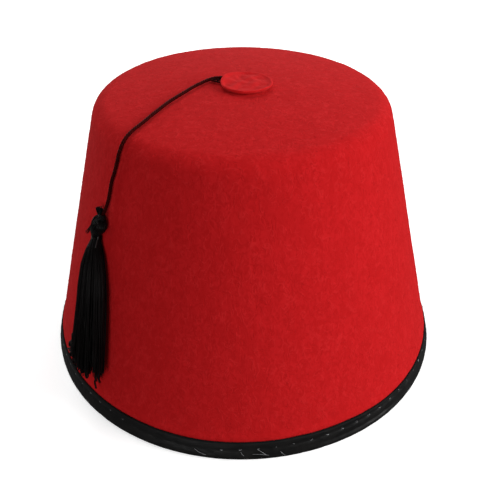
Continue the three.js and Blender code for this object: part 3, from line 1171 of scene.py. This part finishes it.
def twisted(path, diameter, plies, lay, up, run_on=0.0):
    """A cord of plies twisted round a path."""
    if run_on:
        path = np.vstack([path[0] + unit(path[0] - path[1]) * run_on, path])
        up = np.vstack([up[:1], up])
    ahead = unit(np.gradient(path, axis=0))
    across = unit(np.cross(ahead, up))
    over = np.cross(across, ahead)
    run = np.append(0, np.cumsum(np.linalg.norm(np.diff(path, axis=0), axis=1)))
    ply = diameter / (1 + 1 / math.sin(math.pi / plies)) if plies > 1 else diameter
    paths = []
    for start in around(plies):
        spin = (start + run * 2 * np.pi / lay)[:, None]
        paths.append(path + (diameter - ply) / 2 * (np.cos(spin) * across + np.sin(spin) * over))
    turns = run[-1] / (0.55 * lay)
    return tubes(np.array(paths), ply * 1.02, 12, over, 4, 0.12, -turns)


class FEZ_OT_add_cord(bpy.types.Operator):
    """Adds the twisted cord and its unlaid ends beside the button"""

    bl_idname = "fez.add_cord"
    bl_label = "Cord"

    def execute(self, context):
        crown, cord = context.scene.fez_crown, context.scene.fez_cord
        black = yarn_finish("Black cord", cord.brown, shine=0.36, specular=0.03)
        path = smooth_path(CORD_ROUTE, 0.35 * MM)
        up = away_from_hat(crown, path)
        drawn = cord.drawn * cord.diameter
        shape = twisted(path, drawn, cord.plies, cord.lay, up, run_on=1.8 * MM)
        piece = add_piece("twisted_cord", shape, black)
        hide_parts("cord")
        ends = []
        for route in BUTTON_ENDS:
            end = smooth_path(route, 0.3 * MM)
            ends.append(twisted(end, 0.9 * MM, 2, 3 * MM, away_from_hat(crown, end)))
        add_piece("cord_ends", joined(*ends), black)
        return {"FINISHED"}


# ---- tassel


# How often the cord's end is wound round the tassel's top, and the thread round its neck
KNOT_TURNS = 2.3
NECK_TURNS = 7

# Yarns in the binding thread's loose end, and where along it they start to come apart
TAIL_YARNS = 7
TAIL_LOOSENS = 0.72

# The head's layers of strands: how many, and how far out they lie as a share
HEAD_LAYERS = (28, 1.0), (20, 0.72)


class FEZ_OT_add_tassel_top(bpy.types.Operator):
    """Adds the tassel's knot with its tuft, its head and its bound neck"""

    bl_idname = "fez.add_tassel_top"
    bl_label = "Tassel Top"

    def execute(self, context):
        scene = context.scene
        crown, cord, tassel = scene.fez_crown, scene.fez_cord, scene.fez_tassel
        rng = np.random.default_rng(tassel.seed)
        yarn = yarn_finish("Black yarn", cord.black, shine=0.36)
        knot = joined(self.knot_turns(crown, cord), self.tuft(crown, tassel, rng))
        piece = add_piece("knot_and_tuft", knot, yarn)
        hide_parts("tassel_knot")
        piece = add_piece("head_strands", self.head(crown, tassel, rng), yarn)
        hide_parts("tassel_head")
        piece = add_piece("neck_binding", self.neck(crown, tassel), yarn)
        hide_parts("tassel_neck")
        add_piece("thread_tail", self.tail(crown, rng), yarn)
        # A shiny thread down the neck; part of its glint is painted into its colour
        thread = smooth_path(at_places(crown, NECK_THREAD), 0.3 * MM)
        shape = tubes(thread[None], 0.46 * MM, 8, away_from_hat(crown, thread))
        add_piece("neck_thread", shape, shiny_thread_finish(cord.black))
        return {"FINISHED"}

    def knot_turns(self, crown, cord):
        """The cord's own end, wound twice round it where it goes into the head."""
        spin = np.linspace(0, KNOT_TURNS * 2 * np.pi, 64)
        height = KNOT.height + 0.7 * MM * spin / (2 * np.pi)
        along, proud = 1.25 * MM * np.cos(spin), KNOT.proud + 1.15 * MM * np.sin(spin)
        path, out = on_wall(crown, np.radians(KNOT.turn), height, along, proud)
        return twisted(path, 1.0 * MM, cord.plies, 3 * MM, out)

    def tuft(self, crown, tassel, rng):
        """Cut ends that stand up beside the cord like a small brush."""
        count = tassel.tuft_strands
        run = np.linspace(0, 1, 9)[None, :, None]
        across = filled_disc(count)[:, None, :] + rng.normal(0, 0.20, (count, 1, 2)) * run**2
        foot, top = TUFT_SECTIONS[-1].height, TUFT_SECTIONS[0].height
        cut = rng.uniform(0.80, 1.10, (count, 1))
        height = foot + (top - foot) * run[..., 0] * cut
        lift = (2.3 - 0.9 * run[..., 0]) * MM
        along, deep = across[..., 0], across[..., 1]
        path, out = in_sections(crown, TUFT_SECTIONS, height, along, deep, lift)
        return tubes(path, 0.34 * MM * rng.uniform(0.8, 1.2, (count, 1)), 5, out)

    def head(self, crown, tassel, rng):
        """Strands folded over the top of the head and down to the neck, in two layers."""
        parts = []
        top, bottom = HEAD_SECTIONS[0].height, HEAD_SECTIONS[-1].height
        run = np.linspace(0, 1, 24)[None, :]
        for count, fill in HEAD_LAYERS:
            start = (np.arange(count) + rng.uniform(-0.25, 0.25, count)) * 2 * np.pi / count
            height = top + (bottom - top) * run**1.7 + 0 * start[:, None]
            spin = start[:, None] + 0.5 * run + 0.10 * np.sin(5 * run + start[:, None] * 3)
            swell = fill * rng.uniform(0.93, 1.04, (count, 1))
            along, out = swell * np.cos(spin), swell * np.sin(spin)
            lift = tassel.gap + tassel.head_strand / 2
            path, _ = in_sections(crown, HEAD_SECTIONS, height, along, out, lift)
            middle, _ = in_sections(crown, HEAD_SECTIONS, height, 0 * along, 0 * out, lift)
            parts.append(tubes(path, tassel.head_strand, 8, unit(path - middle)))
        return joined(*parts)

    def neck(self, crown, tassel):
        """Thread wound tightly under the head."""
        spin = np.linspace(0, NECK_TURNS * 2 * np.pi, NECK_TURNS * 26)
        top, bottom = NECK_SECTIONS[0].height, NECK_SECTIONS[-1].height
        height = top + (bottom - top) * spin / spin[-1]
        lift = tassel.gap + tassel.head_strand / 2
        path, _ = in_sections(crown, NECK_SECTIONS, height, np.cos(spin), np.sin(spin), lift)
        middle, _ = in_sections(crown, NECK_SECTIONS, height, 0 * spin, 0 * spin, lift)
        return tubes(path[None], 0.56 * MM, 8, (path - middle)[None])

    def tail(self, crown, rng):
        """The binding thread's loose end, unlaid at its tip."""
        path = smooth_path(at_places(crown, THREAD_TAIL), 0.3 * MM)
        out = away_from_hat(crown, path)
        side = unit(np.cross(out, np.gradient(path, axis=0)))
        run = np.linspace(0, 1, len(path))[:, None]
        strands = []
        for turn in around(TAIL_YARNS):
            loosened = np.clip((run - TAIL_LOOSENS) / (1 - TAIL_LOOSENS), 0, 1)
            spread = (0.28 + 0.45 * loosened**1.5) * MM
            spin = turn + 14 * run * (1 - 0.5 * run)
            strands.append(path + spread * (np.cos(spin) * side + 0.7 * np.sin(spin) * out))
        return tubes(np.array(strands), 0.30 * MM, 6, out)


# The skirt's strands, as shares of its half width: the disc that the locks fill, how far the
# strands of a lock spread, and how far a lock and a strand wander and sway by their lower ends
LOCKS_REACH = 0.93
LOCK_SPREAD = 0.13
LOCK_DRIFT = 0.07
STRAND_STRAY = 0.05
STRAND_SWAY = 0.035

# How many of the strands cross to other locks, and how far
CROSSING_CHANCE = 0.05
CROSSING_REACH = 0.45

# The skirt's parting: where it lies along the wall, and how much further along for each share
# out from it
PARTING_ALONG = 0.40
PARTING_SLANT = 0.50

# Where down the strands it starts and over what run it opens, how far beside it they spread and
# are cut shorter, and how much shorter they are cut
PARTING_START, PARTING_RUN = 0.80, 0.20
PARTING_REACH = 0.26
PARTING_CUT_REACH = 0.15
PARTING_CUT = 4.5 * MM

# How the strands' tips rise in millimetres, along the wall and out from it: where they hang free,
# and where they hug the wall
FREE_RISE = 6.6, 2.2
HUGGING_RISE = -5.0, 7.5
HUGGING_DROP = 0.7

# The turn of the skirt's middle in degrees, which tells its left side from its right
SKIRT_TURN = -135

# The lowest and the highest tip of a strand
LOWEST_TIP, HIGHEST_TIP = 0.0165, 0.0360


class FEZ_OT_add_tassel_skirt(bpy.types.Operator):
    """Adds the hanging strands"""

    bl_idname = "fez.add_tassel_skirt"
    bl_label = "Tassel Skirt"

    def execute(self, context):
        scene = context.scene
        crown, cord, tassel = scene.fez_crown, scene.fez_cord, scene.fez_tassel
        rng = np.random.default_rng(tassel.seed)
        hanging = self.hanging(crown, tassel, rng)
        loose = self.loose(crown, tassel, rng)
        black = yarn_finish("Skirt yarn", cord.black, shine=0.34)
        piece = add_piece("skirt_strands", joined(hanging, loose), black)
        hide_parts("tassel_skirt")
        self.declare_cord(cord)
        return {"FINISHED"}

    def hanging(self, crown, tassel, rng):
        """Strands that hang in locks and part a little at their lower ends."""
        locks, each = tassel.locks, tassel.lock_strands
        lock = filled_disc(locks, LOCKS_REACH)[:, None, None, :]
        run = np.linspace(0, 1, 26)[None, None, :, None]
        own = rng.normal(0, LOCK_SPREAD, (locks, each, 1, 2)) * (1.15 - 0.55 * run)
        drift = rng.normal(0, LOCK_DRIFT, (locks, 1, 1, 2)) * run**1.5
        stray = rng.normal(0, STRAND_STRAY, (locks, each, 1, 2)) * run**2
        phase = rng.uniform(0, 2 * np.pi, (locks, each, 1, 2))
        sway = STRAND_SWAY * np.sin(2 * np.pi * (1.3 * run) + phase) * run
        across = lock + own + drift + stray + sway
        crosses = rng.random((locks, each, 1)) < CROSSING_CHANCE
        crossing = crosses * rng.normal(0, CROSSING_REACH, (locks, each, 1))
        across[..., 0] += crossing * run[..., 0] ** 1.5
        beside = across[..., 0] - (PARTING_ALONG + PARTING_SLANT * across[..., 1])
        low = np.clip((run[..., 0] - PARTING_START) / PARTING_RUN, 0, 1)
        across[..., 0] += tassel.parting * np.sign(beside) * bell(beside, PARTING_REACH) * low
        size = np.linalg.norm(across, axis=-1, keepdims=True)
        across = across / np.maximum(size, 1.0)
        along, out = lock[..., 0, 0], lock[..., 0, 1]
        free = FREE_RISE[0] * along + FREE_RISE[1] * out
        hugging = HUGGING_RISE[0] * along + HUGGING_RISE[1] * out - HUGGING_DROP
        tip = tassel.tip_height + np.maximum(free, hugging) * MM
        tip = tip + rng.normal(0, tassel.ragged, (locks, 1))
        tip = tip + rng.normal(0, 0.7 * tassel.ragged, (locks, each))
        tip = tip + PARTING_CUT * bell(beside[..., -1], PARTING_CUT_REACH)
        tip = np.clip(tip, LOWEST_TIP, HIGHEST_TIP)
        start = SKIRT_SECTIONS[0].height
        heights = start + (tip[..., None] - start) * run[..., 0]
        places = stacked(heights, across[..., 0], across[..., 1])
        heights, along, deep = np.moveaxis(places.reshape(locks * each, run.size, 3), -1, 0)
        lift = tassel.gap + tassel.strand / 2
        path, out = in_sections(crown, SKIRT_SECTIONS, heights, along, deep, lift)
        thick = tassel.strand * rng.uniform(0.8, 1.2, (locks * each, 1))
        return tubes(path, thick, 5, out)

    def loose(self, crown, tassel, rng):
        """Strands that leave the skirt's sides lower down and end on their own."""
        tips = at_places(crown, LOOSE_TIPS)
        count = len(tips)
        run = np.linspace(0, 1, 90)[None, :]
        side = np.sign([tip.turn - SKIRT_TURN for tip in LOOSE_TIPS])[:, None]
        heights = SKIRT_SECTIONS[0].height + (tips[:, 2:] - SKIRT_SECTIONS[0].height) * run
        along = side * rng.uniform(0.72, 0.92, (count, 1)) + 0 * run
        deep = rng.uniform(-0.4, 0.3, (count, 1)) + 0 * run
        lift = tassel.gap + tassel.strand / 2
        path, out = in_sections(crown, SKIRT_SECTIONS, heights, along, deep, lift)
        leave = (np.clip((run - 0.55) / 0.45, 0, 1) ** 1.4)[..., None]
        path = path + leave * (tips - path[:, -1])[:, None, :]
        across = unit(np.cross(out, np.gradient(path, axis=1)))
        waves = np.sin(run * rng.uniform(44, 78, (count, 1)) + rng.uniform(0, 6, (count, 1)))
        path = path + 0.85 * MM * waves[..., None] * leave * across
        return tubes(path, 2.0 * tassel.strand, 5, out)

    def declare_cord(self, cord):
        """Works out the length of the cord's path, and keeps nothing of it."""
        path = smooth_path(CORD_ROUTE, 1 * MM)
        path_length(path)


# ---- stage


class FEZ_OT_add_stage(bpy.types.Operator):
    """Adds the pale floor, the soft lamps and the camera"""

    bl_idname = "fez.add_stage"
    bl_label = "Stage"

    def execute(self, context):
        scene, stage = context.scene, context.scene.fez_stage
        scene.view_settings.view_transform = "Standard"
        self.add_floor(scene, stage)
        self.add_sky(scene, stage)
        middle = Vector((0, 0, CROWN_TOP / 2))
        for lamp in LAMPS:
            self.add_lamp(scene, lamp, middle)
        self.add_camera(scene, stage)
        return {"FINISHED"}

    def add_floor(self, scene, stage):
        """A pale floor that the hat stands on."""
        half = stage.floor_width / 2
        mesh = bpy.data.meshes.new("floor")
        corners = [(-half, -half, 0), (half, -half, 0), (half, half, 0), (-half, half, 0)]
        mesh.from_pydata(corners, [], [(0, 1, 2, 3)])
        made = Finish(
            "Pale floor",
            {
                "Roughness": 0.9,
                "Specular IOR Level": 0.1,
                "Emission Color": (1, 1, 1, 1),
                "Emission Strength": stage.floor_glow,
            },
        )
        mottle = made.lumps(made.place(), 0.4, detail=1)
        made.dye(made.blend(mottle, (0.80, 0.80, 0.80, 1), (0.82, 0.82, 0.82, 1)))
        mesh.materials.append(made.material)
        floor = bpy.data.objects.new("floor", mesh)
        floor.visible_diffuse = False
        floor.visible_glossy = False
        scene.collection.objects.link(floor)

    def add_sky(self, scene, stage):
        """Even light from all round."""
        scene.world = bpy.data.worlds.new("Studio")
        scene.world.use_nodes = True
        background = scene.world.node_tree.nodes["Background"]
        background.inputs["Color"].default_value = (1, 1, 1, 1)
        background.inputs["Strength"].default_value = stage.sky

    def add_lamp(self, scene, lamp, middle):
        """One soft square lamp that points at the hat."""
        turn, rise = math.radians(lamp.turn), math.radians(lamp.rise)
        level = math.cos(rise)
        way = Vector((math.cos(turn) * level, math.sin(turn) * level, math.sin(rise)))
        data = bpy.data.lights.new(lamp.name, "AREA")
        data.size = lamp.width
        data.energy = lamp.watts
        light = bpy.data.objects.new(lamp.name, data)
        light.location = middle + way * lamp.distance
        light.rotation_euler = (-way).to_track_quat("-Z", "Y").to_euler()
        light.visible_camera = False
        scene.collection.objects.link(light)

    def add_camera(self, scene, stage):
        """The camera, level and aimed at the hat from above its front."""
        data = bpy.data.cameras.new("camera")
        data.lens = stage.lens
        camera = bpy.data.objects.new("camera", data)
        camera.location = stage.camera_place
        aim = Vector(stage.camera_aim) - Vector(stage.camera_place)
        camera.rotation_euler = aim.to_track_quat("-Z", "Y").to_euler()
        data.clip_start = 0.01
        scene.collection.objects.link(camera)
        scene.camera = camera


# ---- add-on

SETTINGS = {
    "fez_crown": CrownSizes,
    "fez_felt": FeltFinish,
    "fez_tape": TapeSizes,
    "fez_button": ButtonSizes,
    "fez_cord": CordSizes,
    "fez_tassel": TasselSizes,
    "fez_stage": StageSetup,
}
OPERATORS = [
    FEZ_OT_add_stage,
    FEZ_OT_add_cord,
    FEZ_OT_add_crown,
    FEZ_OT_add_fibres,
    FEZ_OT_add_tape,
    FEZ_OT_add_stitches,
    FEZ_OT_add_button,
    FEZ_OT_add_tassel_top,
    FEZ_OT_add_tassel_skirt,
]


class FEZ_PT_panel(bpy.types.Panel):
    """Lists the pieces of the fez"""

    bl_idname = "FEZ_PT_panel"
    bl_label = "Felt Fez"
    bl_space_type = "VIEW_3D"
    bl_region_type = "UI"
    bl_category = "Fez"

    def draw(self, context):
        for operator in OPERATORS:
            self.layout.operator(operator.bl_idname)
        for settings in SETTINGS:
            box = self.layout.box()
            group = getattr(context.scene, settings)
            for name in group.__annotations__:
                box.prop(group, name)


def register():
    for settings, group in SETTINGS.items():
        bpy.utils.register_class(group)
        setattr(bpy.types.Scene, settings, PointerProperty(type=group))
    for operator in OPERATORS:
        bpy.utils.register_class(operator)
    bpy.utils.register_class(FEZ_PT_panel)


def unregister():
    bpy.utils.unregister_class(FEZ_PT_panel)
    for operator in reversed(OPERATORS):
        bpy.utils.unregister_class(operator)
    for settings, group in reversed(SETTINGS.items()):
        delattr(bpy.types.Scene, settings)
        bpy.utils.unregister_class(group)


def main():
    """Makes every piece in order."""
    register()
    bpy.ops.fez.add_stage()
    bpy.ops.fez.add_cord()
    bpy.ops.fez.add_crown()
    bpy.ops.fez.add_fibres()
    bpy.ops.fez.add_tape()
    bpy.ops.fez.add_stitches()
    bpy.ops.fez.add_button()
    bpy.ops.fez.add_tassel_top()
    bpy.ops.fez.add_tassel_skirt()


if __name__ == "__main__":
    main()
